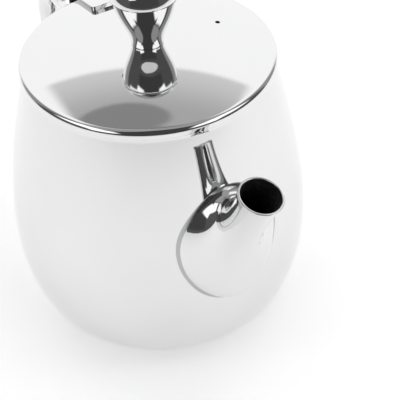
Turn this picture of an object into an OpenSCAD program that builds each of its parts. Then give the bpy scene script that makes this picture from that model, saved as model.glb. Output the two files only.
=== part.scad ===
// Stainless steel teapot with a hinged lid, a waisted knob, a short spout and
// a hollow handle. Millimetres, +Z up, origin at the centre of the base, spout
// towards +X, handle towards -X.

/* [Body] */
// Height of the body up to its rim
body_h = 120; // [118:0.5:122]
// Radius of the belly at its widest
belly_r = 66; // [65:0.5:67]
// Height of the widest point
belly_z = 36; // [34:0.5:38]
// Radius of the outline's arc around the belly
belly_arc = 150; // [140:5:160]
// Radius of the outline's arc from the belly up to the rim
flank_arc = 400; // [380:10:420]
// Slope of the wall where the flank's arc takes over, in degrees
flank_start = 10; // [9:0.5:11]
// Radius of the outline's arc below the belly
shoulder_arc = 98; // [90:1:110]
// Radius of the rounded bottom corner
corner_arc = 18.5; // [17:0.5:20]
// Thickness of the sheet that the body is drawn from
wall = 1; // [0.8:0.1:1.2]
// Radius of the flat plate in the bottom
base_r = 43.5; // [42:0.5:44]
// Thickness of the flat plate in the bottom
base_t = 1.4; // [1:0.1:2]

/* [Spout] */
// Distance of the mouth's centre from the pot's axis
mouth_x = 79; // [78:0.5:81]
// Height of the mouth's centre
mouth_z = 111; // [109:0.5:112]
// Half the mouth's length, towards and away from the pot
mouth_a = 8.7; // [8:0.1:9.5]
// Half the mouth's width
mouth_b = 7.7; // [7:0.1:8.5]
// How far the mouth's plane leans forward, in degrees
mouth_lean = 6; // [0:1:12]
// Half the width of the spout at its root
root_w = 24.4; // [23.5:0.1:25.5]
// Thickness of the spout's sheet
spout_wall = 0.9; // [0.8:0.1:1.2]

/* [Strainer] */
// Diameter of a strainer hole
strain_d = 3; // [2:0.5:3.5]
// Distance between neighbouring strainer holes
strain_pitch = 5.6; // [5:0.2:6]
// Height of the middle of the strainer
strain_z = 68; // [66:1:70]

/* [Lid] */
// Radius of the lid
lid_r = 50; // [49.8:0.1:50.4]
// Height of the lid's turned-down edge
lid_edge = 3.4; // [3:0.1:4]
// Rise of the lid's dome above its edge
lid_dome = 3.6; // [3:0.1:5]
// Outer radius of the rounded edge
lid_round = 2.2; // [1.6:0.1:2.4]
// Thickness of the lid's sheet
lid_t = 0.9; // [0.8:0.1:1]
// Gap between the closed lid and the rim
lid_gap = 0.2; // [0.15:0.05:0.3]
// Outer radius of the ring under the lid that centres it in the rim
seat_r = 46.8; // [46:0.1:47]
// Depth of that ring below the rim
seat_drop = 5.5; // [4:0.5:6]
// Diameter of the steam vent
vent_d = 2; // [1.6:0.1:3]
// Distance of the vent from the lid's centre
vent_r = 30.6; // [30:0.1:35]

/* [Knob] */
// Radius of the knob's foot
foot_r = 6.2; // [5.8:0.1:6.5]
// Height of the knob's waisted part
bell_h = 19.8; // [18:0.2:21]
// Radius of the waisted part at its top
bell_r = 12.1; // [11.8:0.1:12.6]
// Radius of the cap
cap_r = 12.9; // [12.7:0.1:13.2]
// Rise of the knob cap's dome
cap_dome = 10.5; // [9:0.5:11.5]
// Diameter of the knob's screw
screw_d = 4; // [3:0.5:4]

/* [Hinge] */
// Distance of the hinge pin behind the pot's axis
pivot_x = 57.5; // [57.5:0.1:58]
// Height of the hinge pin
pivot_z = 122; // [121.8:0.1:122.2]
// Radius of the hinge pin
pin_r = 1.5; // [1.4:0.1:1.6]
// Running clearance around the hinge pin
pin_clear = 0.05; // [0.03:0.01:0.1]
// Outer radius of the strap's rolled knuckle
knuckle_r = 3.4; // [3.2:0.1:3.4]
// Half the strap's width at the knuckle
strap_w = 9.5; // [9:0.1:9.5]
// Half the strap's width at its front end
strap_tip_w = 7.9; // [7.5:0.1:8.5]
// Distance of the strap's front end from the pot's axis
strap_tip_x = 33; // [31:0.5:35]
// Thickness of the strap
strap_t = 1.8; // [1.6:0.1:2]
// Thickness of each ear of the bracket
ear_t = 2; // [1.8:0.1:2.2]

/* [Handle] */
// Height of the upper arm's centre line
arm_z = 109; // [108.5:0.1:109.1]
// Distance from the pot's axis at which the upper arm starts to turn
arm_x = 80; // [76:1:84]
// Radius of the upper bend
bend_top = 22; // [20:1:24]
// Radius of the lower bend
bend_low = 14; // [12:1:16]
// Length of the straight grip between the bends
grip_l = 30; // [28:1:34]
// Width of the handle, side to side
grip_w = 20; // [19:0.5:21]
// Thickness of the handle
grip_t = 11; // [10:0.2:11]
// Thickness of the handle's sheet
grip_wall = 0.9; // [0.8:0.1:1]

/* [Hidden] */
$fn = 64;

steel = "gainsboro";
shaded_steel = "silver";
round_fn = 144;    // facets of a whole turn of the big round parts
arc_fn = 720;      // facets of the long, shallow arcs
bend_fn = 96;      // facets of a whole turn of the handle's bends
over = 1;          // how far a cutting shape runs past what it cuts

// The body's outline is four arcs that meet tangentially.
shoulder_turn = asin((belly_z - corner_arc) / (shoulder_arc - corner_arc));
flank_c = [belly_r - belly_arc, belly_z]
        + (belly_arc - flank_arc) * [cos(flank_start), sin(flank_start)];
corner_c = [belly_r - shoulder_arc, belly_z]
         + (shoulder_arc - corner_arc) * [cos(shoulder_turn), -sin(shoulder_turn)];

// The lid, from the rim up. Its dome runs tangentially into the rounded edge.
vent_turn = 87.5;
lid_z = body_h + lid_gap;
lid_top = lid_z + lid_edge;
dome_r = lid_r - lid_round;
dome_arc = (pow(dome_r, 2) + pow(lid_dome, 2)) / (2 * lid_dome) + lid_round;
dome_cz = lid_top + lid_dome - dome_arc;
knob_z = lid_top + lid_dome - 0.08;    // the dome is pressed flat under the knob

// The spout's side view: two cubic curves, its underside and its top side,
// from inside the body to the front and the back of the mouth.
mouth_dir = [cos(mouth_lean), -sin(mouth_lean)];
mouth_c = [mouth_x, mouth_z];
spout_under = [[60.6, 43], [79.9, 44.7], [57.8, 55.5], mouth_c + mouth_a * mouth_dir];
spout_top = [[40.4, 112.2], [55.7, 94.1], [63.2, 83.8], mouth_c - mouth_a * mouth_dir];
spout_half = [root_w, root_w - 4.1, 5.2, mouth_b];
spout_rings = 20;
spout_sides = 32;

// The knob and its screw.
bell_steps = 20;
knob_wall = 1;
knob_floor = 6;
cap_edge = 0.6;
washer_r = 5.5;
washer_t = 0.8;
screw_play = 0.3;

// The hinge's ears and the handle's path.
ear_in = strap_w + 0.3;
ear_out = ear_in + ear_t;
ear_r = 4.2;
ear_foot_x = 47;
bracket_z = arm_z + grip_t / 2;
bracket_x = 63.5;
bracket_t = 1.6;
arm_end = 40;      // where the arms stop, inside the body, before they are cut
turn_c = [-arm_x, arm_z - bend_top];
grip_x = arm_x + bend_top;
low_c = [bend_low - grip_x, turn_c.y - grip_l];

// Part of the body's outline between two heights, filled in to the axis.
module arc_band(c, r, z_lo, z_hi) {
    intersection() {
        translate([0, z_lo]) square([2 * belly_r, z_hi - z_lo]);
        union() {
            translate(c) circle(r, $fn = arc_fn);
            if (c.x > 0) translate([0, c.y - r]) square([c.x, 2 * r]);
        }
    }
}

// The body as a solid of revolution, its wall set in by an amount.
module body_solid(inset, z_top) {
    z_corner = corner_c.y - (corner_arc - inset) * sin(shoulder_turn);
    z_flank = belly_z + (belly_arc - inset) * sin(flank_start);
    rotate_extrude($fn = round_fn) {
        arc_band(corner_c, corner_arc - inset, inset, z_corner);
        arc_band([belly_r - shoulder_arc, belly_z], shoulder_arc - inset, z_corner, belly_z);
        arc_band([belly_r - belly_arc, belly_z], belly_arc - inset, belly_z, z_flank);
        arc_band(flank_c, flank_arc - inset, z_flank, z_top);
    }
}

// Strainer holes in staggered rows, punched straight through behind the spout.
module strainer_holes() {
    row_step = strain_pitch * sin(60);
    for (row = [-3:3]) {
        columns = 5 - abs(row % 2) - (abs(row) > 2 ? 1 : 0);
        for (i = [0:columns - 1])
            translate([belly_r - 20, (i - (columns - 1) / 2) * strain_pitch,
                       strain_z + row * row_step])
                rotate([0, 90, 0]) cylinder(d = strain_d, h = 30);
    }
}

module body_shell() {
    color(steel) difference() {
        body_solid(0, body_h);
        body_solid(wall, body_h + over);
        translate([0, 0, -over]) cylinder(r = base_r, h = wall + 2 * over, $fn = round_fn);
        strainer_holes();
    }
}

module base_plate() {
    color(shaded_steel) cylinder(r = base_r, h = base_t, $fn = round_fn);
}

// A point of a cubic curve with four control points.
function bezier(p, t) = pow(1 - t, 3) * p[0] + 3 * pow(1 - t, 2) * t * p[1]
                      + 3 * (1 - t) * t * t * p[2] + pow(t, 3) * p[3];

// One oval ring of the spout, set in by an amount and moved along its normal.
function spout_ring(t, inset, shift) =
    let (low = bezier(spout_under, t), high = bezier(spout_top, t),
         half = (low - high) / 2, a = norm(half) - inset,
         along = half / norm(half), c = (low + high) / 2 + shift * [-along.y, along.x],
         b = bezier(spout_half, t) - inset)
    [for (i = [0:spout_sides - 1])
        let (turn = 360 * i / spout_sides)
        [c.x + a * along.x * cos(turn), b * sin(turn), c.y + a * along.y * cos(turn)]];

// The closed solid inside the spout's surface. A tail runs it past the mouth.
module spout_solid(inset, tail) {
    rings = [for (i = [0:spout_rings]) spout_ring(i / spout_rings, inset, 0),
             if (tail > 0) spout_ring(1, inset, tail)];
    last = len(rings) - 1;
    n = spout_sides;
    sides = [for (r = [0:last - 1], i = [0:n - 1])
        let (j = (i + 1) % n)
        each [[r * n + j, r * n + i, (r + 1) * n + i],
              [(r + 1) * n + j, r * n + j, (r + 1) * n + i]]];
    polyhedron(points = [for (ring = rings) each ring],
               faces = concat(sides, [[for (i = [0:n - 1]) i]],
                              [[for (i = [n - 1:-1:0]) last * n + i]]));
}

module spout_shell() {
    color(steel) difference() {
        spout_solid(0, 0);
        spout_solid(spout_wall, over);
        body_solid(0, body_h);
    }
}

// The handle's cross-section: a slot shape, set in by an amount.
module grip_outline(inset) {
    r = grip_t / 2 - inset;
    flat = grip_w / 2 - grip_t / 2;
    square([2 * r, 2 * flat], center = true);
    for (side = [-1, 1]) translate([0, side * flat]) circle(r);
}

// One half of the hollow cross-section, side = 1 to the left of the pot.
module grip_half(side) {
    intersection() {
        difference() {
            grip_outline(0);
            grip_outline(grip_wall);
        }
        translate([-grip_t, side > 0 ? 0 : -grip_w]) square([2 * grip_t, grip_w]);
    }
}

// A quarter bend of the handle in the XZ plane, starting at an angle.
module grip_bend(c, r, from, side) {
    translate([c.x, 0, c.y]) rotate([90, 0, 0]) rotate([0, 0, from])
        rotate_extrude(angle = 90, $fn = bend_fn)
            translate([r, 0]) grip_half(-side);
}

// An arm of the handle, from a height and a distance behind the axis forward.
module grip_arm(x, z, side) {
    translate([x, 0, z]) rotate([0, 90, 0]) linear_extrude(-x - arm_end) grip_half(side);
}

module handle_half(side) {
    difference() {
        union() {
            grip_arm(-arm_x, arm_z, side);
            grip_bend(turn_c, bend_top, 90, side);
            translate([-grip_x, 0, low_c.y]) linear_extrude(grip_l) grip_half(side);
            grip_bend(low_c, bend_low, 180, side);
            grip_arm(low_c.x, low_c.y - bend_low, side);
        }
        body_solid(0, body_h);
    }
}

module handle_left_shell() { color(steel) handle_half(1); }

module handle_right_shell() { color(shaded_steel) handle_half(-1); }

// Side view of the bracket: a round ear over the pin on a foot.
module ear_outline() {
    translate([-pivot_x, pivot_z]) circle(ear_r);
    polygon([[-bracket_x, bracket_z], [-ear_foot_x, bracket_z], [-pivot_x + ear_r, pivot_z],
             [-bracket_x, pivot_z]]);
    translate([-bracket_x, pivot_z]) square([bracket_x - pivot_x, ear_r]);
}

module hinge_bracket() {
    slot_x = bracket_x - bracket_t;
    color(steel) difference() {
        translate([0, ear_out, 0]) rotate([90, 0, 0]) linear_extrude(2 * ear_out) ear_outline();
        translate([-slot_x, -ear_in, bracket_z + bracket_t])
            cube([slot_x, 2 * ear_in, 20]);
        translate([-pivot_x, 20, pivot_z]) rotate([90, 0, 0]) cylinder(r = pin_r, h = 40);
        body_solid(0, body_h);
    }
}

module hinge_pin() {
    head_r = pin_r + 1.1;
    head_t = 1.2;
    color(shaded_steel) translate([-pivot_x, 0, pivot_z]) rotate([90, 0, 0]) {
        cylinder(r = pin_r, h = 2 * ear_out, center = true);
        for (end = [-1, 1])
            translate([0, 0, end * (ear_out + head_t / 2)])
                cylinder(r = head_r, h = head_t, center = true);
    }
}

// Half section under the lid's dome, raised by an amount, above a height.
module dome_outline(rise, r, z_lo) {
    intersection() {
        translate([0, z_lo]) square([r, knob_z + 2 * strap_t - z_lo]);
        translate([0, dome_cz]) circle(dome_arc + rise, $fn = arc_fn);
    }
}

// Half section of all that the lid's outer surface encloses, set in by an amount.
module lid_outline(inset) {
    touch_r = dome_r * (dome_arc - inset) / (dome_arc - lid_round);
    translate([0, lid_z - inset]) square([lid_r - inset, lid_edge - lid_round + inset]);
    translate([dome_r, lid_top - lid_round]) intersection() {
        circle(lid_round - inset);
        square(lid_round);
    }
    intersection() {
        translate([0, lid_z]) square([touch_r, knob_z - inset - lid_z]);
        translate([0, dome_cz]) circle(dome_arc - inset, $fn = arc_fn);
    }
}

module lid_shell() {
    color(steel) difference() {
        rotate_extrude($fn = round_fn) difference() {
            lid_outline(0);
            lid_outline(lid_t);
        }
        cylinder(d = screw_d + screw_play, h = 2 * body_h);
        rotate([0, 0, vent_turn]) translate([vent_r, 0, body_h]) cylinder(d = vent_d, h = 20);
    }
}

module lid_seat_ring() {
    ring_t = 0.8;
    color(shaded_steel) difference() {
        union() {
            translate([0, 0, lid_z]) cylinder(r = lid_r - lid_t, h = ring_t, $fn = round_fn);
            translate([0, 0, body_h - seat_drop])
                cylinder(r = seat_r, h = seat_drop + lid_gap, $fn = round_fn);
        }
        translate([0, 0, body_h - seat_drop - over])
            cylinder(r = seat_r - ring_t, h = 20, $fn = round_fn);
    }
}

// Plan view of the strap, from its front end, with rounded corners, back to
// the knuckle.
module strap_plan() {
    tip_round = 1.5;
    tip = [for (turn = [0:15:90])
           [-strap_tip_x - tip_round * (1 - cos(turn)),
            strap_tip_w - tip_round * (1 - sin(turn))]];
    polygon([for (p = tip) p, [-pivot_x, strap_w], [-pivot_x, -strap_w],
             for (i = [len(tip) - 1:-1:0]) [tip[i].x, -tip[i].y]]);
}

module hinge_strap() {
    flat_x = dome_r - 3;    // where the flat length starts
    color(steel) difference() {
        union() {
            // On the lid, following its dome.
            intersection() {
                translate([0, 0, lid_top]) linear_extrude(10) strap_plan();
                rotate_extrude($fn = round_fn) dome_outline(strap_t, lid_r, lid_z);
            }
            // Behind the lid, flat, back to the knuckle.
            translate([0, 0, lid_top]) linear_extrude(strap_t) intersection() {
                strap_plan();
                translate([-pivot_x, -strap_w]) square([pivot_x - flat_x, 2 * strap_w]);
            }
            translate([-pivot_x, strap_w, pivot_z]) rotate([90, 0, 0])
                cylinder(r = knuckle_r, h = 2 * strap_w);
        }
        rotate_extrude($fn = round_fn) dome_outline(0, lid_r, lid_z);
        translate([-pivot_x, strap_w + over, pivot_z]) rotate([90, 0, 0])
            cylinder(r = pin_r + pin_clear, h = 2 * (strap_w + over));
    }
}

// A point of the outline of the knob's waisted part, from its foot up.
function bell_point(t) = bezier([[foot_r, 0], [foot_r - 0.2, 5.2], [bell_r - 1.4, 10],
                                 [bell_r, bell_h]], t);

// That outline as a closed shape, set in by an amount.
module bell_outline(inset) {
    polygon([[0, 0], for (i = [0:bell_steps]) bell_point(i / bell_steps) - [inset, 0],
             [0, bell_h]]);
}

module knob_bell() {
    color(steel) translate([0, 0, knob_z]) difference() {
        rotate_extrude($fn = round_fn) difference() {
            bell_outline(0);
            intersection() {
                bell_outline(knob_wall);
                translate([0, knob_floor]) square(bell_h);
            }
        }
        translate([0, 0, -over]) cylinder(d = screw_d, h = knob_floor + 2 * over);
    }
}

// A dome over a low straight edge, in half section.
module cap_outline(r, edge, rise) {
    arc = (r * r + rise * rise) / (2 * rise);
    intersection() {
        square([r, edge + rise]);
        translate([0, edge + rise - arc]) circle(arc, $fn = arc_fn);
    }
}

module knob_cap() {
    color(steel) translate([0, 0, knob_z + bell_h]) rotate_extrude($fn = round_fn)
        difference() {
            cap_outline(cap_r, cap_edge, cap_dome);
            intersection() {
                square([bell_r - knob_wall - 0.2, cap_dome]);
                cap_outline(cap_r - knob_wall, cap_edge, cap_dome - knob_wall);
            }
        }
}

module knob_washer() {
    color(shaded_steel) translate([0, 0, knob_z - lid_t - washer_t]) difference() {
        cylinder(r = washer_r, h = washer_t);
        translate([0, 0, -over]) cylinder(d = screw_d + screw_play, h = washer_t + 2 * over);
    }
}

module knob_screw() {
    head_r = 3.6;
    head_t = 2.2;
    slot_w = 1;
    reach = 5;    // how far the screw goes into the knob
    head_z = knob_z - lid_t - washer_t - head_t;
    color(shaded_steel) difference() {
        union() {
            translate([0, 0, head_z]) cylinder(r = head_r, h = head_t);
            translate([0, 0, head_z]) cylinder(d = screw_d, h = knob_z + reach - head_z);
        }
        translate([-head_r - over, -slot_w / 2, head_z - over])
            cube([2 * (head_r + over), slot_w, over + head_t / 2]);
    }
}

body_shell();
base_plate();
spout_shell();
handle_left_shell();
handle_right_shell();
hinge_bracket();
hinge_pin();
lid_shell();
lid_seat_ring();
hinge_strap();
knob_bell();
knob_cap();
knob_screw();
knob_washer();
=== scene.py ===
import math

import bmesh
import bpy
import numpy as np
from mathutils import Matrix, Vector


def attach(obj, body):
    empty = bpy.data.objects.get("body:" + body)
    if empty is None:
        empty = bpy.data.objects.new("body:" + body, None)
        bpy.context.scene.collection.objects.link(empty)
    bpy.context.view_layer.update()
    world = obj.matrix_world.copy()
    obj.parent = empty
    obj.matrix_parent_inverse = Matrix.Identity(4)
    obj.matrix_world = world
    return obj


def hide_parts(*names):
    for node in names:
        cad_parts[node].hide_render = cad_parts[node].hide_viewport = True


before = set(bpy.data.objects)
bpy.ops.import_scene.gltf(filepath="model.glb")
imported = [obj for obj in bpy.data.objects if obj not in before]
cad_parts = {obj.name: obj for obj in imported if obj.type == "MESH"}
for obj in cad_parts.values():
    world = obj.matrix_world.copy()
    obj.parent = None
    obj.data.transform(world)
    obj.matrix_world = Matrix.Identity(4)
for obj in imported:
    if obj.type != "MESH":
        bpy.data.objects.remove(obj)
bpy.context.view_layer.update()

MM = 0.001

# ---------------------------------------------------------------- the object's sizes, in millimetres
BODY_H = 120.0
BELLY_R, BELLY_Z = 66.0, 36.0
BELLY_ARC, FLANK_ARC, SHOULDER_ARC, CORNER_ARC = 150.0, 400.0, 98.0, 18.5
FLANK_START = math.radians(10)
WALL = 1.0
BASE_R = 43.5

MOUTH = np.array([79.0, 111.0])
MOUTH_A, MOUTH_B = 8.7, 7.7
MOUTH_LEAN = math.radians(6)
ROOT_W = 24.4
SPOUT_WALL = 0.9
SPOUT_SINK = 0.03

STRAIN_D, STRAIN_PITCH, STRAIN_Z, STRAIN_ROWS = 3.0, 5.6, 68.0, 3

LID_R, LID_EDGE, LID_DOME, LID_T, LID_GAP, LID_ROUND = 50.0, 3.4, 3.6, 0.9, 0.2, 2.2
VENT_D, VENT_R, VENT_TURN = 2.0, 30.6, math.radians(87.5)
LID_Z = BODY_H + LID_GAP
LID_TOP = LID_Z + LID_EDGE
DOME_R = LID_R - LID_ROUND
DOME_ARC = (DOME_R ** 2 + LID_DOME ** 2) / (2 * LID_DOME) + LID_ROUND
DOME_CZ = LID_TOP + LID_DOME - DOME_ARC
KNOB_Z = LID_TOP + LID_DOME - 0.08

FOOT_R, BELL_H, BELL_R = 6.2, 19.8, 12.1
CAP_R, CAP_EDGE, CAP_DOME = 12.9, 0.6, 10.5

PIVOT = np.array([-57.5, 122.0])
PIN_R, PIN_PLAY, KNUCKLE_R = 1.5, 0.06, 3.4
ROLL_FROM, ROLL_TO = 90, 385
STRAP_W, STRAP_TIP_W, STRAP_TIP_X, STRAP_T, STRAP_ROUND = 9.5, 7.9, 33.0, 1.8, 1.5

ARM_Z, ARM_X = 109.0, 80.0
BEND_TOP, BEND_LOW, GRIP_L = 22.0, 14.0, 30.0
GRIP_W, GRIP_T = 20.0, 11.0
# Where the centre lines of the arms end, inside the pot: they run on through its wall.
ARM_END_TOP, ARM_END_LOW = 44, 52


# ---------------------------------------------------------------- outlines
def body_arcs():
    """The four arcs of the body's outline, from the bottom up: centre, radius, lowest and highest z."""
    turn = math.asin((BELLY_Z - CORNER_ARC) / (SHOULDER_ARC - CORNER_ARC))
    shoulder = np.array([BELLY_R - SHOULDER_ARC, BELLY_Z])
    corner = shoulder + (SHOULDER_ARC - CORNER_ARC) * np.array([math.cos(turn), -math.sin(turn)])
    belly = np.array([BELLY_R - BELLY_ARC, BELLY_Z])
    start = np.array([math.cos(FLANK_START), math.sin(FLANK_START)])
    flank = belly + (BELLY_ARC - FLANK_ARC) * start
    z_corner = corner[1] - CORNER_ARC * math.sin(turn)
    z_flank = BELLY_Z + BELLY_ARC * math.sin(FLANK_START)
    return [(corner, CORNER_ARC, 0.0, z_corner), (shoulder, SHOULDER_ARC, z_corner, BELLY_Z),
            (belly, BELLY_ARC, BELLY_Z, z_flank), (flank, FLANK_ARC, z_flank, BODY_H)]


ARCS = body_arcs()


def body_radius(z):
    """Radius of the body's outside at the heights z; above the rim it is the rim's."""
    z = np.minimum(np.asarray(z, float), BODY_H)
    r = np.zeros_like(z)
    for c, arc, lo, hi in ARCS:
        here = (z >= lo) & (z <= hi + 1e-9)
        r = np.where(here, c[0] + np.sqrt(np.maximum(arc ** 2 - (z - c[1]) ** 2, 0)), r)
    return r


def body_normal(p):
    """Outward unit normals of the body's outside at the points p."""
    r = np.hypot(p[:, 0], p[:, 1])
    slope = np.zeros(len(p))
    for c, arc, lo, hi in ARCS:
        here = (p[:, 2] >= lo) & (p[:, 2] <= hi + 1e-9)
        slope = np.where(here, (p[:, 2] - c[1]) / arc, slope)
    flat = np.sqrt(1 - slope ** 2)
    return np.c_[p[:, 0] / r * flat, p[:, 1] / r * flat, slope]


def outside(p):
    """How far the points p are outside the body, horizontally."""
    return np.hypot(p[..., 0], p[..., 1]) - body_radius(p[..., 2])


def arc_points(c, r, a0, a1, n):
    """Points of an arc in half section, from the angle a0 to a1 in degrees."""
    a = np.radians(np.linspace(a0, a1, n + 1))
    return [(c[0] + r * math.cos(t), c[1] + r * math.sin(t)) for t in a]


def without_repeats(points, least):
    """The points in order, leaving out each that is no further than least from the last one kept."""
    kept = [points[0]]
    for p in points[1:]:
        if math.dist(p, kept[-1]) > least:
            kept.append(p)
    return kept


def bezier(p, t):
    """Points of a cubic Bezier curve with the four control points p, at the parameters t."""
    t = np.asarray(t, float)[..., None]
    p = [np.asarray(q, float) for q in p]
    return (1 - t) ** 3 * p[0] + 3 * (1 - t) ** 2 * t * p[1] + 3 * (1 - t) * t * t * p[2] + t ** 3 * p[3]


# ---------------------------------------------------------------- mesh helpers
# Angles, in degrees, over which an edge is kept sharp or is eased.
TURNED_CORNER, SPOUT_CORNER, HANDLE_CORNER, PLATE_CORNER = 40, 60, 50, 40
ROLL_CORNER, CAD_CORNER = 30, 35
EASE_SEGMENTS = 3


def new_object(name, verts, faces):
    """A smooth-shaded mesh object from points in millimetres."""
    mesh = bpy.data.meshes.new(name)
    mesh.from_pydata([tuple(v) for v in np.asarray(verts) * MM], [], faces)
    mesh.validate()
    mesh.shade_smooth()
    obj = bpy.data.objects.new(name, mesh)
    bpy.context.scene.collection.objects.link(obj)
    return obj


def lathe(name, profile, turns):
    """A solid of revolution. The profile goes round the section with the material on its left,
    seen with +Z up and the axis on the left. Corners sharper than TURNED_CORNER keep a sharp edge."""
    p = np.array(profile, float)
    n = len(p)
    a = np.linspace(0, 2 * math.pi, turns, endpoint=False)
    on_axis = p[:, 0] < 1e-6
    index = []
    verts = []
    for i in range(n):
        if on_axis[i]:
            index.append([len(verts)] * turns)
            verts.append((0, 0, p[i, 1]))
        else:
            index.append(list(range(len(verts), len(verts) + turns)))
            verts += [(p[i, 0] * math.cos(t), p[i, 0] * math.sin(t), p[i, 1]) for t in a]
    faces = []
    for i in range(n):
        j = (i + 1) % n
        if on_axis[i] and on_axis[j]:
            continue
        for k in range(turns):
            m = (k + 1) % turns
            quad = [index[i][k], index[i][m], index[j][m], index[j][k]]
            faces.append([v for q, v in enumerate(quad) if v not in quad[:q]])
    obj = new_object(name, verts, faces)
    set_sharp(obj, TURNED_CORNER)
    return obj


def set_sharp(obj, angle):
    """Marks the edges whose faces meet at more than an angle as sharp."""
    bm = bmesh.new()
    bm.from_mesh(obj.data)
    bmesh.ops.recalc_face_normals(bm, faces=bm.faces)
    limit = math.radians(angle)
    for e in bm.edges:
        e.smooth = len(e.link_faces) == 2 and e.calc_face_angle(0) < limit
    bm.to_mesh(obj.data)
    bm.free()


def grid(name, rings, caps=False):
    """A skin over closed rings of points, all of the same length; caps close its two ends."""
    rings = np.array(rings)
    m, n = rings.shape[:2]
    faces = []
    for i in range(m - 1):
        for k in range(n):
            j = (k + 1) % n
            faces.append([i * n + k, i * n + j, (i + 1) * n + j, (i + 1) * n + k])
    if caps:
        faces.append(list(range(n))[::-1])
        faces.append([(m - 1) * n + k for k in range(n)])
    return new_object(name, rings.reshape(-1, 3), faces)


def unit(v):
    """The vectors v, each at a length of 1."""
    return v / np.maximum(np.linalg.norm(v, axis=-1, keepdims=True), 1e-12)


def grid_normals(rings):
    """Smooth normals of closed rings of points, from the differences along and around them."""
    along = np.gradient(rings, axis=0)
    around = np.roll(rings, -1, axis=1) - np.roll(rings, 1, axis=1)
    return unit(np.cross(along, around))


def cut(obj, cutter):
    """Takes the cutter away from the object, for good."""
    mod = obj.modifiers.new("cut", "BOOLEAN")
    mod.operation, mod.object, mod.solver = "DIFFERENCE", cutter, "EXACT"
    deps = bpy.context.evaluated_depsgraph_get()
    mesh = bpy.data.meshes.new_from_object(obj.evaluated_get(deps))
    obj.modifiers.clear()
    old = obj.data
    obj.data = mesh
    mesh.name = old.name
    bpy.data.meshes.remove(old)
    bpy.data.objects.remove(cutter)


def drill(obj, name, radius, depth, segments, places):
    """Takes round holes out of the object. Each place is the matrix of a cylinder along Z."""
    bm = bmesh.new()
    for place in places:
        bmesh.ops.create_cone(bm, cap_ends=True, segments=segments, radius1=radius * MM,
                              radius2=radius * MM, depth=depth * MM, matrix=place)
    mesh = bpy.data.meshes.new(name)
    bm.to_mesh(mesh)
    bm.free()
    cutter = bpy.data.objects.new(name, mesh)
    bpy.context.scene.collection.objects.link(cutter)
    cut(obj, cutter)
    obj.data.shade_smooth()


def shade_from_profile(obj, profile):
    """Sets the shading of a turned piece from its half section, so that holes cut in it leave
    no marks: a corner whose face lies along the section gets the section's own direction."""
    limit = 25.0               # degrees between a face and the section
    close = 2e-5               # metres between a corner and the section
    tie = 1e-8                 # metres within which two lengths are as near
    batch = 4000
    p = np.array(profile, float) * MM
    seg = np.roll(p, -1, axis=0) - p
    keep = np.linalg.norm(seg, axis=1) > 1e-9
    p, seg = p[keep], seg[keep]
    nrm = unit(np.c_[seg[:, 1], -seg[:, 0]])
    mesh = obj.data
    co = np.zeros(len(mesh.vertices) * 3)
    mesh.vertices.foreach_get("co", co)
    co = co.reshape(-1, 3)
    r = np.hypot(co[:, 0], co[:, 1])
    rz = np.c_[r, co[:, 2]]
    # The two lengths of the section nearest each vertex.
    near = np.zeros((len(co), 2), int)
    gap = np.zeros((len(co), 2))
    for lo in range(0, len(co), batch):
        q = rz[lo:lo + batch, None, :]
        t = np.clip(((q - p) * seg).sum(2) / (seg ** 2).sum(1), 0, 1)
        d = np.linalg.norm(p + t[..., None] * seg - q, axis=2)
        two = np.argpartition(d, 1, axis=1)[:, :2]
        near[lo:lo + batch] = two
        gap[lo:lo + batch] = np.take_along_axis(d, two, axis=1)
    loop_v = np.zeros(len(mesh.loops), int)
    mesh.loops.foreach_get("vertex_index", loop_v)
    face_n = np.zeros(len(mesh.polygons) * 3)
    mesh.polygons.foreach_get("normal", face_n)
    sizes = np.zeros(len(mesh.polygons), int)
    mesh.polygons.foreach_get("loop_total", sizes)
    fn = np.repeat(face_n.reshape(-1, 3), sizes, axis=0)
    rad = np.c_[co[:, 0], co[:, 1]] / np.maximum(r, 1e-9)[:, None]
    f2 = np.c_[(fn[:, :2] * rad[loop_v]).sum(1), fn[:, 2]]
    flat = np.linalg.norm(f2, axis=1)
    pick = nrm[near[loop_v]]
    fits = (pick * f2[:, None, :]).sum(2) > math.cos(math.radians(limit)) * flat[:, None]
    fits &= gap[loop_v] < gap[loop_v].min(axis=1, keepdims=True) + tie
    n2 = unit((pick * fits[..., None]).sum(1))
    good = fits.any(axis=1) & (flat > 0.8) & (gap[loop_v].min(axis=1) < close) & (r[loop_v] > 1e-7)
    turned = np.c_[rad[loop_v] * n2[:, :1], n2[:, 1]]
    out = np.where(good[:, None], turned, fn)
    mesh.normals_split_custom_set(out.tolist())


def extrude_outline(name, outline, half_width, bevel):
    """An outline in XZ, extruded along Y to both sides, with its edges eased."""
    bm = bmesh.new()
    low = [bm.verts.new((x * MM, -half_width * MM, z * MM)) for x, z in outline]
    face = bm.faces.new(low)
    made = bmesh.ops.extrude_face_region(bm, geom=[face])["geom"]
    for v in made:
        if isinstance(v, bmesh.types.BMVert):
            v.co.y = half_width * MM
    bmesh.ops.recalc_face_normals(bm, faces=bm.faces)
    mesh = bpy.data.meshes.new(name)
    bm.to_mesh(mesh)
    bm.free()
    mesh.shade_smooth()
    obj = bpy.data.objects.new(name, mesh)
    bpy.context.scene.collection.objects.link(obj)
    ease(obj, bevel, ROLL_CORNER)
    return obj


def ease(obj, width, angle):
    """Rounds a piece's edges sharper than an angle with a bevel."""
    mod = obj.modifiers.new("eased_edges", "BEVEL")
    mod.width, mod.segments = width * MM, EASE_SEGMENTS
    mod.limit_method, mod.angle_limit = "ANGLE", math.radians(angle)
    mod.harden_normals = True


# ---------------------------------------------------------------- materials
NOISE_LOW, NOISE_HIGH = 0.3, 0.7           # the part of the noise's range that is used
CLOUD_SCALE, CLOUD_SHADE = 38.0, 0.985
BUMP_DEPTH = 0.00002


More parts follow.
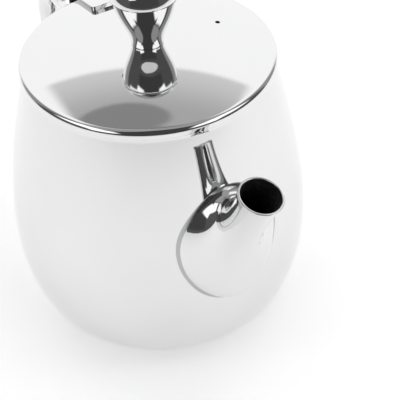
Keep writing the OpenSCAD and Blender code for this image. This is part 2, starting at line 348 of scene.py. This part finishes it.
def steel(name, base, rough, rough_swing, bump, streak=(1.0, 1.0, 1.0), scale=900.0):
    """Steel as a node material: a faint clouding of the colour, wiping or brushing marks in the
    roughness and in a very shallow bump. A small number in streak draws the marks out along
    that axis."""
    mat = bpy.data.materials.new(name)
    mat.use_nodes = True
    nt = mat.node_tree
    nt.nodes.clear()
    out = nt.nodes.new("ShaderNodeOutputMaterial")
    bsdf = nt.nodes.new("ShaderNodeBsdfPrincipled")
    bsdf.inputs["Metallic"].default_value = 1.0
    nt.links.new(bsdf.outputs["BSDF"], out.inputs["Surface"])
    tex = nt.nodes.new("ShaderNodeTexCoord")
    mapping = nt.nodes.new("ShaderNodeMapping")
    mapping.inputs["Scale"].default_value = streak
    nt.links.new(tex.outputs["Object"], mapping.inputs["Vector"])
    cloud = nt.nodes.new("ShaderNodeTexNoise")
    cloud.inputs["Scale"].default_value = CLOUD_SCALE
    cloud.inputs["Detail"].default_value = 3.0
    nt.links.new(tex.outputs["Object"], cloud.inputs["Vector"])
    ramp = nt.nodes.new("ShaderNodeValToRGB")
    ramp.color_ramp.elements[0].position = NOISE_LOW
    ramp.color_ramp.elements[1].position = NOISE_HIGH
    ramp.color_ramp.elements[0].color = (*[c * CLOUD_SHADE for c in base], 1)
    ramp.color_ramp.elements[1].color = (*base, 1)
    nt.links.new(cloud.outputs["Fac"], ramp.inputs["Fac"])
    nt.links.new(ramp.outputs["Color"], bsdf.inputs["Base Color"])
    marks = nt.nodes.new("ShaderNodeTexNoise")
    marks.inputs["Scale"].default_value = scale
    marks.inputs["Detail"].default_value = 4.0
    marks.inputs["Roughness"].default_value = 0.6
    nt.links.new(mapping.outputs["Vector"], marks.inputs["Vector"])
    swing = nt.nodes.new("ShaderNodeMapRange")
    swing.inputs["From Min"].default_value = NOISE_LOW
    swing.inputs["From Max"].default_value = NOISE_HIGH
    swing.inputs["To Min"].default_value = rough
    swing.inputs["To Max"].default_value = rough + rough_swing
    nt.links.new(marks.outputs["Fac"], swing.inputs["Value"])
    nt.links.new(swing.outputs["Result"], bsdf.inputs["Roughness"])
    if bump > 0:
        lift = nt.nodes.new("ShaderNodeBump")
        lift.inputs["Strength"].default_value = bump
        lift.inputs["Distance"].default_value = BUMP_DEPTH
        nt.links.new(marks.outputs["Fac"], lift.inputs["Height"])
        nt.links.new(lift.outputs["Normal"], bsdf.inputs["Normal"])
    return mat


MIRROR = steel("mirror_steel", (0.77, 0.77, 0.775), 0.03, 0.03, 0.05)
KNOB_MIRROR = steel("knob_mirror_steel", (0.80, 0.80, 0.805), 0.012, 0.015, 0.0)
INNER = steel("inner_satin_steel", (0.62, 0.62, 0.62), 0.24, 0.12, 0.25, (0.25, 0.25, 5.0), 600.0)
WELD = steel("weld_steel", (0.46, 0.46, 0.465), 0.14, 0.10, 0.3, (1.0, 1.0, 1.0), 700.0)
SATIN = steel("plain_satin_steel", (0.68, 0.68, 0.69), 0.2, 0.06, 0.12, (1.0, 1.0, 1.0), 900.0)


def finish_piece(obj, body, slot, materials, *nodes):
    """Gives a piece its materials and its body, and hides the CAD nodes it stands for. The slot is not
    used.
    """
    obj.data.materials.clear()
    for m in materials:
        obj.data.materials.append(m)
    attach(obj, body)
    if nodes:
        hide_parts(*nodes)


# ---------------------------------------------------------------- body
def body_profile():
    """The body wall's closed half section: up the outside, over the rim, down the inside."""
    step, rim_step, ease_r = 0.9, 0.02, 0.3
    out = [(BASE_R, 0.0)]
    turns = []
    for c, arc, lo, hi in ARCS:
        a0 = math.degrees(math.asin(max(-1, (lo - c[1]) / arc)))
        a1 = math.degrees(math.asin((hi - c[1]) / arc))
        n = max(6, int(math.radians(a1 - a0) * arc / step))
        turns.append((c, arc, a0, a1, n))
        out += arc_points(c, arc, a0, a1, n)
    out = [p for p in out if p[1] <= BODY_H - ease_r]
    rim = out[-1][0] - rim_step
    out += arc_points((rim - ease_r, BODY_H - ease_r), ease_r, 0, 90, 5)
    out += arc_points((rim - WALL + ease_r, BODY_H - ease_r), ease_r, 90, 180, 5)
    inner = []
    for c, arc, a0, a1, n in turns:
        inner += arc_points(c, arc - WALL, a0, a1, max(4, n // 2))
    inner = [p for p in inner if p[1] <= BODY_H - 2 * ease_r]
    out += inner[::-1]
    out.append((BASE_R, WALL))
    return without_repeats(out, 0.01)


def make_body():
    profile = body_profile()
    obj = lathe("body_wall", profile, turns=256)
    # The strainer: rows of holes through the wall behind the spout.
    row_step = STRAIN_PITCH * math.sin(math.radians(60))
    across = Matrix.Rotation(math.radians(90), 4, "Y")
    places = []
    for row in range(-STRAIN_ROWS, STRAIN_ROWS + 1):
        columns = 5 - abs(row) % 2 - (1 if abs(row) == STRAIN_ROWS else 0)
        for i in range(columns):
            y = (i - (columns - 1) / 2) * STRAIN_PITCH
            at = Vector((BELLY_R - 5, y, STRAIN_Z + row * row_step)) * MM
            places.append(Matrix.Translation(at) @ across)
    drill(obj, "strainer_cutter", STRAIN_D / 2, 30, 24, places)
    shade_from_profile(obj, profile)
    finish_piece(obj, "pot", "polished_steel", [MIRROR, INNER], "body_shell")
    # The inside of the wall, which is not polished.
    for poly in obj.data.polygons:
        c, n = poly.center, poly.normal
        inward = c.x * n.x + c.y * n.y < -1e-6
        if inward and math.hypot(c.x, c.y) < (body_radius(c.z / MM) - 0.5) * MM:
            poly.material_index = 1


# ---------------------------------------------------------------- spout
MOUTH_DIR = np.array([math.cos(MOUTH_LEAN), -math.sin(MOUTH_LEAN)])
SPOUT_UNDER = [(60.6, 43), (79.9, 44.7), (57.8, 55.5), MOUTH + MOUTH_A * MOUTH_DIR]
SPOUT_TOP = [(40.4, 112.2), (55.7, 94.1), (63.2, 83.8), MOUTH - MOUTH_A * MOUTH_DIR]
SPOUT_HALF = [[ROOT_W], [ROOT_W - 4.1], [5.2], [MOUTH_B]]
STATIONS = 160


def spout_points(t, turn, inset=0.0):
    """Points of the spout's surface at the lengths t and the angles turn, which pair up."""
    low, high = bezier(SPOUT_UNDER, t), bezier(SPOUT_TOP, t)
    half = (low - high) / 2
    size = np.linalg.norm(half, axis=-1)
    along = half / size[..., None]
    a = size - inset
    b = bezier(SPOUT_HALF, t)[..., 0] - inset
    c = (low + high) / 2
    flat = c + (a * np.cos(turn))[..., None] * along
    return np.stack([flat[..., 0], b * np.sin(turn), flat[..., 1]], axis=-1)


def spout_normal(t, turn, inset=0.0):
    """Outward unit normals of the spout's surface."""
    e = 1e-4
    dt = spout_points(np.minimum(t + e, 1), turn, inset) - spout_points(t - e, turn, inset)
    da = spout_points(t, turn + e, inset) - spout_points(t, turn - e, inset)
    n = unit(np.cross(da, dt))
    c = spout_points(t, turn, -1.0) - spout_points(t, turn, 0.0)
    return n * np.sign((n * c).sum(-1, keepdims=True))


def crossing(curve):
    """The parameter at which each curve last leaves the body, by halving."""
    ts = np.linspace(0.0, 0.98, 200)
    values = np.array([outside(curve(np.full(STATIONS, t))) for t in ts])
    last = np.array([np.where(values[:, k] < 0)[0].max() for k in range(values.shape[1])])
    a, b = ts[last], ts[np.minimum(last + 1, len(ts) - 1)]
    for _ in range(30):
        m = (a + b) / 2
        within = outside(curve(m)) < 0
        a, b = np.where(within, m, a), np.where(within, b, m)
    return (a + b) / 2


def fillet(j, skin_n, b_points, reach, steps=8):
    """Rings of a weld bead polished hollow: from the body's surface, reach away from the joint
    j, to the points b_points on the piece's own skin."""
    nb = body_normal(j)
    line = unit(np.cross(nb, skin_n))
    away = unit(np.cross(nb, line))
    # Away from the piece is to the side that its skin faces.
    away *= np.sign((away * skin_n).sum(-1, keepdims=True) + 1e-12)
    a = j + reach * away
    r = np.hypot(a[:, 0], a[:, 1])
    scale = (body_radius(a[:, 2]) - SPOUT_SINK) / r
    a = np.c_[a[:, 0] * scale, a[:, 1] * scale, a[:, 2]]
    rings = []
    for i in range(steps):
        s = i / steps
        rings.append((1 - s) ** 2 * a + 2 * s * (1 - s) * j + s * s * b_points)
    return rings, nb


def make_spout():
    """The spout: its weld on the body, the skin up to the mouth, the lip and the inside."""
    reach, lip = 1.3, 0.25
    steps, inner_steps = 100, 40
    inner_end = 0.99
    turn = np.linspace(0, 2 * math.pi, STATIONS, endpoint=False)
    t_join = crossing(lambda t: spout_points(t, turn))
    j = spout_points(t_join, turn)
    speed = np.linalg.norm(spout_points(t_join + 1e-3, turn) - j, axis=1) / 1e-3
    t_b = t_join + reach / speed
    b_points = spout_points(t_b, turn)
    rings, nb = fillet(j, spout_normal(t_join, turn), b_points, reach)
    weld_count = len(rings)
    for i in range(steps + 1):
        s = i / steps
        rings.append(spout_points(t_b + (1 - t_b) * s, turn))
    # The lip: over the edge of the sheet, slightly rounded, then down the inside.
    end = spout_points(np.ones(STATIONS), turn)
    end_in = spout_points(np.ones(STATIONS), turn, SPOUT_WALL)
    up = np.array([math.sin(MOUTH_LEAN), 0, math.cos(MOUTH_LEAN)])
    inward = unit(end_in - end)
    rings[-1] = end - lip * up
    for a in np.radians([30, 60, 90]):
        rings.append(end + lip * (1 - math.cos(a)) * inward - lip * (1 - math.sin(a)) * up)
    for a in np.radians([90, 60, 30, 0]):
        rings.append(end_in - lip * (1 - math.cos(a)) * inward - lip * (1 - math.sin(a)) * up)
    outer_count = len(rings)
    t_in = crossing(lambda t: spout_points(t, turn, SPOUT_WALL))
    for i in range(1, inner_steps + 1):
        s = 1 - i / inner_steps
        rings.append(spout_points(t_in + (inner_end - t_in) * s, turn, SPOUT_WALL))
    rings = np.array(rings)
    obj = grid("spout_skin", rings)
    set_sharp(obj, SPOUT_CORNER)
    # Smooth normals, on the same side as the mesh's own; along the weld's foot, the body's.
    mesh = obj.data
    own = np.array([v.normal for v in mesh.vertices])
    flat = grid_normals(rings).reshape(-1, 3)
    flat *= np.sign((flat * own).sum(1, keepdims=True) + 1e-12)
    flat[:STATIONS] = nb * np.sign((nb * own[:STATIONS]).sum(1, keepdims=True) + 1e-12)
    mesh.normals_split_custom_set_from_vertices([tuple(n) for n in flat])
    finish_piece(obj, "pot", "polished_steel", [MIRROR, INNER, WELD], "spout_shell")
    weld_to, inner_from = weld_count * STATIONS, (outer_count - 1) * STATIONS
    for poly in mesh.polygons:
        if min(poly.vertices) >= inner_from:
            poly.material_index = 1
        elif max(poly.vertices) < weld_to:
            poly.material_index = 2


# ---------------------------------------------------------------- handle
def handle_path():
    """The handle's centre line in XZ, from inside the body at the top to inside it below:
    point, and unit direction."""
    grip_x = ARM_X + BEND_TOP
    top_c = np.array([-ARM_X, ARM_Z - BEND_TOP])
    low_c = np.array([BEND_LOW - grip_x, top_c[1] - GRIP_L])
    pts = [(np.array([-x, ARM_Z]), np.array([-1.0, 0.0])) for x in np.linspace(ARM_END_TOP, ARM_X, 24)]
    for a in np.radians(np.linspace(90, 180, 25))[1:]:
        d = np.array([math.cos(a), math.sin(a)])
        pts.append((top_c + BEND_TOP * d, np.array([-math.sin(a), math.cos(a)])))
    for z in np.linspace(top_c[1], low_c[1], 9)[1:]:
        pts.append((np.array([-grip_x, z]), np.array([0.0, -1.0])))
    for a in np.radians(np.linspace(180, 270, 21))[1:]:
        d = np.array([math.cos(a), math.sin(a)])
        pts.append((low_c + BEND_LOW * d, np.array([-math.sin(a), math.cos(a)])))
    end = low_c[1] - BEND_LOW
    for x in np.linspace(-low_c[0], ARM_END_LOW, 20)[1:]:
        pts.append((np.array([-x, end]), np.array([1.0, 0.0])))
    return pts


def half_section(side):
    """Half of the slot-shaped section, seam to seam: (across the thickness, sideways)."""
    r = GRIP_T / 2
    flat = GRIP_W / 2 - r
    seam, dip = 0.35, 0.18
    pts = [(-r + dip, 0.0), (-r + dip * 0.35, seam * 0.4), (-r, seam)]
    pts += [(-r, y) for y in np.linspace(seam, flat, 5)[1:]]
    pts += [(r * math.cos(a), flat + r * math.sin(a)) for a in np.radians(np.linspace(180, 0, 33))[1:]]
    pts += [(r, y) for y in np.linspace(flat, seam, 5)[1:]]
    pts += [(r - dip * 0.35, seam * 0.4), (r - dip, 0.0)]
    return [(a, side * b) for a, b in pts]


def make_handle(side, name, node):
    """One pressed half of the handle, on the side of +Y or of -Y."""
    section = half_section(side)
    rings = []
    for c, d in handle_path():
        normal = np.array([-d[1], d[0]])      # in XZ, across the handle
        rings.append([(c[0] + a * normal[0], b, c[1] + a * normal[1]) for a, b in section])
    obj = grid(name, rings, caps=True)
    set_sharp(obj, HANDLE_CORNER)
    finish_piece(obj, "pot", "polished_steel", [MIRROR], node)


# ---------------------------------------------------------------- lid
def dome_z(r, rise=0.0):
    """Height of the lid's dome at the radius r, or of a surface that far over it."""
    return DOME_CZ + np.sqrt((DOME_ARC + rise) ** 2 - np.asarray(r, float) ** 2)


def lid_profile():
    """The lid's closed half section: out along its underside, round the edge, back over its top."""
    hole, lip = 2.15, 0.25
    edge = (DOME_R, LID_TOP - LID_ROUND)
    lean = math.degrees(math.asin(DOME_R / (DOME_ARC - LID_ROUND)))

    def dome(inset, steps):
        touch = DOME_R * (DOME_ARC - inset) / (DOME_ARC - LID_ROUND)
        return [(r, min(KNOB_Z - inset, float(dome_z(r, -inset))))
                for r in np.linspace(FOOT_R - 0.5, touch, steps)][:-1]

    outer = [(hole, KNOB_Z)] + dome(0.0, 70) + arc_points(edge, LID_ROUND, 90 - lean, 0, 16)
    foot = arc_points((LID_R - lip, LID_Z + lip), lip, 0, -90, 4)
    inner = arc_points(edge, LID_ROUND - LID_T, 0, 90 - lean, 8) + dome(LID_T, 36)[::-1]
    profile = outer + foot + [(LID_R - LID_T, LID_Z)] + inner + [(hole, KNOB_Z - LID_T)]
    return profile[::-1]


def make_lid():
    profile = without_repeats(lid_profile(), 0.005)
    obj = lathe("lid_dome", profile, turns=256)
    at = Vector((VENT_R * math.cos(VENT_TURN), VENT_R * math.sin(VENT_TURN), LID_TOP)) * MM
    drill(obj, "vent_cutter", VENT_D / 2, 20, 32, [Matrix.Translation(at)])
    shade_from_profile(obj, profile)
    finish_piece(obj, "lid", "polished_steel", [MIRROR, SATIN], "lid_shell")
    # The underside, which is not polished.
    for poly in obj.data.polygons:
        if poly.normal.z < -0.3:
            poly.material_index = 1


# ---------------------------------------------------------------- knob
def make_knob():
    """The knob: the waisted bell, bored for its screw, and the domed cap that closes it."""
    bore, foot_ease, cap_ease = 2.0, 0.25, 0.22
    t = np.linspace(0, 1, 60)
    bell = bezier([(FOOT_R, 0), (FOOT_R - 0.2, 5.2), (BELL_R - 1.4, 10), (BELL_R, BELL_H)], t)
    foot_c = (FOOT_R - foot_ease, foot_ease)
    out = [(bore, 0.0), (foot_c[0], 0.0)] + arc_points(foot_c, foot_ease, -90, 0, 3)[1:]
    out += [tuple(p) for p in bell if p[1] > 0.3]
    out += [(BELL_R - 1.0, BELL_H), (BELL_R - 1.6, BELL_H - 2), (4.5, 6.5), (bore, 6.0)]
    out = [(r, z + KNOB_Z) for r, z in out]
    obj = lathe("knob_waist", out, turns=192)
    finish_piece(obj, "lid", "polished_steel", [KNOB_MIRROR], "knob_bell")
    arc = (CAP_R ** 2 + CAP_DOME ** 2) / (2 * CAP_DOME)
    z0 = KNOB_Z + BELL_H
    cz = z0 + CAP_EDGE + CAP_DOME - arc
    e = cap_ease
    rows = [(BELL_R - 1.2, z0)]
    rows += arc_points((CAP_R - e, z0 + e), e, -90, 0, 4)
    rim = math.asin((CAP_R - e) / (arc - e))
    lean = math.degrees(rim)
    rows += arc_points((CAP_R - e, cz + (arc - e) * math.cos(rim)), e, 0, 90 - lean, 4)
    rows += arc_points((0.0, cz), arc, 90 - lean, 90, 64)[1:]
    rows += [(0.0, cz + arc - 1.0), (BELL_R - 1.2, z0 + 0.6)]
    cap = lathe("knob_top", rows, turns=192)
    finish_piece(cap, "lid", "polished_steel", [KNOB_MIRROR], "knob_cap")


# ---------------------------------------------------------------- hinge
def make_strap():
    """The plate on the lid, with rounded front corners, and its back end rolled round the pin."""
    columns = 13
    xs = list(-STRAP_TIP_X - STRAP_ROUND * (1 - np.cos(np.radians(np.arange(0, 91, 15)))))
    xs += list(np.linspace(-STRAP_TIP_X - STRAP_ROUND, -DOME_R, 24)[1:])
    xs += list(np.linspace(-DOME_R, PIVOT[0], 6)[1:])
    rows = []
    for x in xs:
        d = -STRAP_TIP_X - x
        if d < STRAP_ROUND:
            drop = STRAP_ROUND - math.sqrt(max(0.0, STRAP_ROUND ** 2 - (STRAP_ROUND - d) ** 2))
            w = STRAP_TIP_W - drop
        else:
            s = (d - STRAP_ROUND) / (-PIVOT[0] - STRAP_TIP_X - STRAP_ROUND)
            w = STRAP_TIP_W + (STRAP_W - STRAP_TIP_W) * s
        rows.append([(x, y) for y in np.linspace(-w, w, columns)])

    def level(x, y, rise):
        r = math.hypot(x, y)
        if r < DOME_R:
            return float(dome_z(r, rise))
        return LID_TOP + rise

    n = columns
    top = [[(x, y, max(level(x, y, STRAP_T), LID_TOP + STRAP_T)) for x, y in row] for row in rows]
    low = [[(x, y, level(x, y, 0.0)) for x, y in row] for row in rows]
    verts = [p for row in top for p in row] + [p for row in low for p in row]
    m, base = len(rows), len(rows) * n
    faces = []
    for i in range(m - 1):
        for k in range(n - 1):
            a, b, c, d = i * n + k, i * n + k + 1, (i + 1) * n + k + 1, (i + 1) * n + k
            faces += [[a, b, c, d], [base + d, base + c, base + b, base + a]]
        for k in (0, n - 1):
            faces.append([i * n + k, (i + 1) * n + k, base + (i + 1) * n + k, base + i * n + k])
    for i in (0, m - 1):
        for k in range(n - 1):
            faces.append([i * n + k, i * n + k + 1, base + i * n + k + 1, base + i * n + k])
    plate = new_object("strap_plate", verts, faces)
    set_sharp(plate, PLATE_CORNER)
    ease(plate, 0.3, PLATE_CORNER)
    finish_piece(plate, "lid", "polished_steel", [MIRROR], "hinge_strap")
    # The rolled end, open below where the sheet's edge comes back to the strap.
    outer = arc_points(PIVOT, KNUCKLE_R, ROLL_FROM, ROLL_TO, 47)
    inner = arc_points(PIVOT, PIN_R + PIN_PLAY, ROLL_TO, ROLL_FROM, 47)
    roll = extrude_outline("strap_roll", outer + inner, STRAP_W, 0.2)
    finish_piece(roll, "lid", "polished_steel", [MIRROR])


# Pieces shown as the CAD has them: how far their edges are eased, in millimetres.
CAD_EASE = {"hinge_bracket": 0.35, "hinge_pin": 0.2, "lid_seat_ring": 0.15,
            "base_plate": 0.2, "knob_screw": 0.15, "knob_washer": 0.1}


def finish_cad_pieces():
    """Materials and eased edges for the pieces that are not drawn again here."""
    for node, width in CAD_EASE.items():
        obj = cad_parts[node]
        obj.data.materials.clear()
        obj.data.materials.append(MIRROR if node == "hinge_bracket" else SATIN)
        ease(obj, width, CAD_CORNER)


make_body()
make_spout()
make_handle(1, "handle_left_half", "handle_left_shell")
make_handle(-1, "handle_right_half", "handle_right_shell")
make_lid()
make_knob()
make_strap()
finish_cad_pieces()


# ---------------------------------------------------------------- stage, light and camera
FLOOR_HALF, FLOOR_SINK = 3.0, 0.00005      # metres
FLOOR_GLOW = 0.36                          # a lit table, which softens shadows


def make_floor():
    mat = bpy.data.materials.new("studio_floor")
    mat.use_nodes = True
    nt = mat.node_tree
    bsdf = nt.nodes["Principled BSDF"]
    bsdf.inputs["Roughness"].default_value = 0.6
    bsdf.inputs["Emission Color"].default_value = (1, 1, 1, 1)
    bsdf.inputs["Emission Strength"].default_value = FLOOR_GLOW
    tex = nt.nodes.new("ShaderNodeTexCoord")
    noise = nt.nodes.new("ShaderNodeTexNoise")
    noise.inputs["Scale"].default_value = 3.0
    ramp = nt.nodes.new("ShaderNodeValToRGB")
    ramp.color_ramp.elements[0].color = (0.90, 0.90, 0.90, 1)
    ramp.color_ramp.elements[1].color = (0.93, 0.93, 0.93, 1)
    nt.links.new(tex.outputs["Object"], noise.inputs["Vector"])
    nt.links.new(noise.outputs["Fac"], ramp.inputs["Fac"])
    nt.links.new(ramp.outputs["Color"], bsdf.inputs["Base Color"])
    corners = [(x * FLOOR_HALF, y * FLOOR_HALF, 0) for x, y in ((-1, -1), (1, -1), (1, 1), (-1, 1))]
    mesh = bpy.data.meshes.new("floor")
    mesh.from_pydata(corners, [], [(0, 1, 2, 3)])
    floor = bpy.data.objects.new("floor", mesh)
    floor.location.z = -FLOOR_SINK
    bpy.context.scene.collection.objects.link(floor)
    mesh.materials.append(mat)


VIEW_TURN = math.radians(25)       # how far the camera stands round from the spout, towards -Y
AWAY = Vector((-math.cos(VIEW_TURN), math.sin(VIEW_TURN), 0))
SIDE = Vector((math.sin(VIEW_TURN), math.cos(VIEW_TURN), 0))


class Nodes:
    """Short names for building arithmetic in a node tree."""

    def __init__(self, tree):
        self.tree = tree

    def math(self, operation, *values, clamp=False):
        node = self.tree.nodes.new("ShaderNodeMath")
        node.operation = operation
        node.use_clamp = clamp
        for socket, value in zip(node.inputs, values):
            if isinstance(value, (int, float)):
                socket.default_value = value
            else:
                self.tree.links.new(value, socket)
        return node.outputs["Value"]

    def dot(self, vector, direction):
        node = self.tree.nodes.new("ShaderNodeVectorMath")
        node.operation = "DOT_PRODUCT"
        self.tree.links.new(vector, node.inputs[0])
        node.inputs[1].default_value = tuple(direction)
        return node.outputs["Value"]

    def step(self, value, at, soft):
        """0 well below at, 1 well above it, smooth over soft on either side."""
        node = self.tree.nodes.new("ShaderNodeMapRange")
        node.interpolation_type = "SMOOTHSTEP"
        self.tree.links.new(value, node.inputs["Value"])
        node.inputs["From Min"].default_value = at - soft
        node.inputs["From Max"].default_value = at + soft
        return node.outputs["Result"]

    def window(self, value, low, high, soft):
        """1 between low and high, 0 outside."""
        return self.math("MULTIPLY", self.step(value, low, soft),
                         self.math("SUBTRACT", 1.0, self.step(value, high, soft)))

    def mix(self, mask, below, above):
        """below where the mask is 0, above where it is 1."""
        return self.math("ADD", self.math("MULTIPLY", mask, above),
                         self.math("MULTIPLY", self.math("SUBTRACT", 1.0, mask), below))


# How bright the parts of the studio are.
SWEEP, BEYOND, SIDES, CEILING, DARK_ROOM = 1.17, 0.34, 0.10, 0.38, 0.06
SOFTBOX, LAMP = 1.5, 1.5
GAP_START, GAP_DROP, GAP_TOP, GAP_SPOT = 0.74, -0.26, 0.26, 0.29
# Where they are, in degrees. Swing is to either side of the direction away from the camera,
# rise is over the horizon, pitch runs over the top and lean is to either side of that.
SWEEP_TO, BEYOND_TO, ROOM_FROM, ROOM_RISE, CEILING_FROM = 50.0, 76.0, 132.0, 2.0, 61.0
SOFTBOX_SWING, SOFTBOX_RISE = (88.0, 124.0), (30.0, 58.0)
LAMP_PITCH, LAMP_LEAN = (117.0, 150.0), (26.0, 48.0)
GAP_SIDES, GAP_RISE, GAP_TILT = (-21.0, 22.0), (41.3, 60.0), 0.1
FADE_AT, GAP_TOP_FROM = 47.0, 56.6
SPOT_TURN, SPOT_RISE, SPOT_WIDE, SPOT_HIGH = -8.0, 54.0, 13.0, 3.4


def make_world():
    """The studio round the object, by direction: a white sweep behind it, with a grey gap in
    it high up and a dark oval spot in the gap; grey and then dark to the sides, with a softbox
    high at each; a grey ceiling; and the dark room behind the camera, with two lamps over it."""
    world = bpy.data.worlds.new("studio")
    bpy.context.scene.world = world
    world.use_nodes = True
    nt = world.node_tree
    nt.nodes.clear()
    n = Nodes(nt)
    out = nt.nodes.new("ShaderNodeOutputWorld")
    bg = nt.nodes.new("ShaderNodeBackground")
    nt.links.new(bg.outputs["Background"], out.inputs["Surface"])
    ray = nt.nodes.new("ShaderNodeTexCoord").outputs["Generated"]
    degrees = 180 / math.pi
    turn = n.math("MULTIPLY", n.math("ARCTAN2", n.dot(ray, SIDE), n.dot(ray, AWAY)), degrees)
    up = n.dot(ray, (0, 0, 1))
    rise = n.math("MULTIPLY", n.math("ARCSINE", up), degrees)
    swing = n.math("ABSOLUTE", turn)
    pitch = n.math("MULTIPLY", n.math("ARCTAN2", up, n.dot(ray, AWAY)), degrees)
    lean = n.math("ABSOLUTE", n.math("ARCSINE", n.dot(ray, SIDE)))
    lean = n.math("MULTIPLY", lean, degrees)

    # The gap's edges climb a little towards the right.
    tilted = n.math("SUBTRACT", rise, n.math("MULTIPLY", turn, GAP_TILT))
    fade = n.math("MULTIPLY_ADD", n.step(tilted, FADE_AT, 6.0), GAP_DROP, GAP_START)
    fade = n.mix(n.step(tilted, GAP_TOP_FROM, 0.5), fade, GAP_TOP)
    across = n.math("DIVIDE", n.math("SUBTRACT", turn, SPOT_TURN), SPOT_WIDE)
    along = n.math("DIVIDE", n.math("SUBTRACT", tilted, SPOT_RISE), SPOT_HIGH)
    ring = n.math("ADD", n.math("POWER", across, 2.0), n.math("POWER", along, 2.0))
    gap = n.mix(n.step(ring, 1.0, 0.25), GAP_SPOT, fade)
    in_gap = n.math("MULTIPLY", n.window(turn, *GAP_SIDES, 1.5), n.window(tilted, *GAP_RISE, 0.7))

    room = n.mix(n.step(swing, SWEEP_TO, 8.0), SWEEP, BEYOND)
    room = n.mix(n.step(swing, BEYOND_TO, 4.0), room, SIDES)
    boxes = n.math("MULTIPLY", n.window(swing, *SOFTBOX_SWING, 3.0),
                   n.window(rise, *SOFTBOX_RISE, 3.0))
    room = n.mix(boxes, room, SOFTBOX)
    room = n.mix(n.step(rise, CEILING_FROM, 1.5), room, CEILING)
    behind = n.math("MULTIPLY", n.step(swing, ROOM_FROM, 6.0), n.step(rise, ROOM_RISE, 1.5))
    room = n.mix(behind, room, DARK_ROOM)
    lamps = n.math("MULTIPLY", n.window(pitch, *LAMP_PITCH, 3.0), n.window(lean, *LAMP_LEAN, 3.0))
    room = n.mix(lamps, room, LAMP)
    nt.links.new(n.mix(in_gap, room, gap), bg.inputs["Color"])


def area(name, place, aim, size, power):
    """A rectangular light that does not show in the steel."""
    data = bpy.data.lights.new(name, "AREA")
    data.energy = power
    data.shape = "RECTANGLE"
    data.size, data.size_y = size
    obj = bpy.data.objects.new(name, data)
    obj.location = place
    obj.rotation_euler = (Vector(aim) - Vector(place)).to_track_quat("-Z", "Y").to_euler()
    obj.visible_glossy = False
    bpy.context.scene.collection.objects.link(obj)


SIDE_OUT, SIDE_UP, SIDE_AIM = 0.62, 0.7, 0.3        # metres
SIDE_SIZE, LEFT_POWER, RIGHT_POWER = (0.4, 1.0), 0.8, 1.5
OVER_BACK, OVER_UP, OVER_SIZE, OVER_POWER = 0.25, 1.5, (1.2, 1.2), 2.0


def make_lights():
    """Soft light on the floor at both sides of the object, and from overhead."""
    for name, side, power in (("left_box", -1, LEFT_POWER), ("right_box", 1, RIGHT_POWER)):
        place = SIDE * (SIDE_OUT * side) + Vector((0, 0, SIDE_UP))
        area(name, place, SIDE * (SIDE_AIM * side), SIDE_SIZE, power)
    area("overhead", AWAY * OVER_BACK + Vector((0, 0, OVER_UP)), (0, 0, 0), OVER_SIZE, OVER_POWER)


# The camera, as it was solved from the lid's edge and the body's outline.
CAMERA_PLACE = Vector((220.9, -103.0, 287.7)) * MM
CAMERA_AIM = Vector((8.93, 15.91, 39.43)) * MM
CAMERA_ROLL = math.radians(-1.716)
CAMERA_LENS, SENSOR_WIDTH = 67.1, 36.0


def make_camera():
    data = bpy.data.cameras.new("camera")
    data.lens = CAMERA_LENS
    data.sensor_width = SENSOR_WIDTH
    data.clip_start, data.clip_end = 0.01, 20.0
    cam = bpy.data.objects.new("camera", data)
    look = (CAMERA_AIM - CAMERA_PLACE).to_track_quat("-Z", "Y").to_matrix().to_4x4()
    roll = Matrix.Rotation(CAMERA_ROLL, 4, "Z")
    cam.matrix_world = Matrix.Translation(CAMERA_PLACE) @ look @ roll
    bpy.context.scene.collection.objects.link(cam)
    bpy.context.scene.camera = cam


make_floor()
make_world()
make_lights()
make_camera()
bpy.context.scene.view_settings.view_transform = "Standard"
